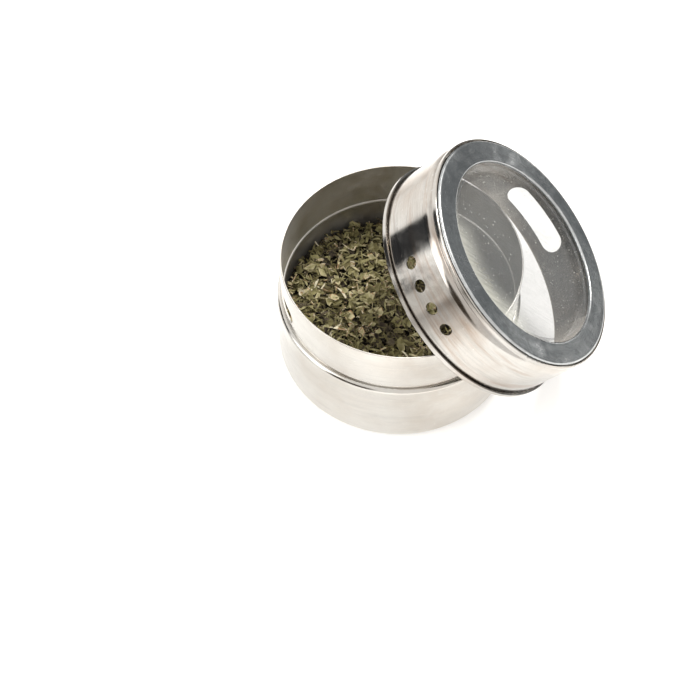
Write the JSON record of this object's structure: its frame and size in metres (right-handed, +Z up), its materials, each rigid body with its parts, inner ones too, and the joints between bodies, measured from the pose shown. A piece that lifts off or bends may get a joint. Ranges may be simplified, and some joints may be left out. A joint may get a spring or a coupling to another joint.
{
  "type": "spice tin",
  "caption": "Small round steel spice tin with dried herbs, its clear-topped sift-and-pour lid leaning on the rim and a magnet under the base.",
  "frame": {"origin": "centre of the magnet's lower face, which lies in the plane the tin stands on", "axes": "+Z up along the tin's axis; +X towards the side of the rim that the lid hangs over"},
  "size_m": [0.0873, 0.0665, 0.0642],
  "materials": {
    "tin_steel": "satin",
    "lid_steel": "satin",
    "ring_steel": "polished",
    "magnet_ferrite": "matte",
    "pad_adhesive": "matte",
    "dried_herbs": "matte",
    "clear_plastic": "gloss"
  },
  "bodies": {
    "tin": {"tin_body": "tin_steel", "base_magnet": "magnet_ferrite", "magnet_pad": "pad_adhesive", "herb_fill": "dried_herbs"},
    "lid_window": {"window": "clear_plastic"},
    "lid": {"lid_skirt": "lid_steel", "lid_top_ring": "ring_steel"}
  },
  "joints": [
    {"name": "lid_lift", "type": "slide", "parent": "tin", "child": "lid_window", "axis": [0.651, -0.0387, 0.7581], "range_m": [0, 0.06]},
    {"name": "lid_turn", "type": "hinge", "parent": "lid_window", "child": "lid", "pos_m": [0.0312, -0.00184, 0.04403], "axis": [0.651, -0.0387, 0.7581], "continuous": true}
  ]
}
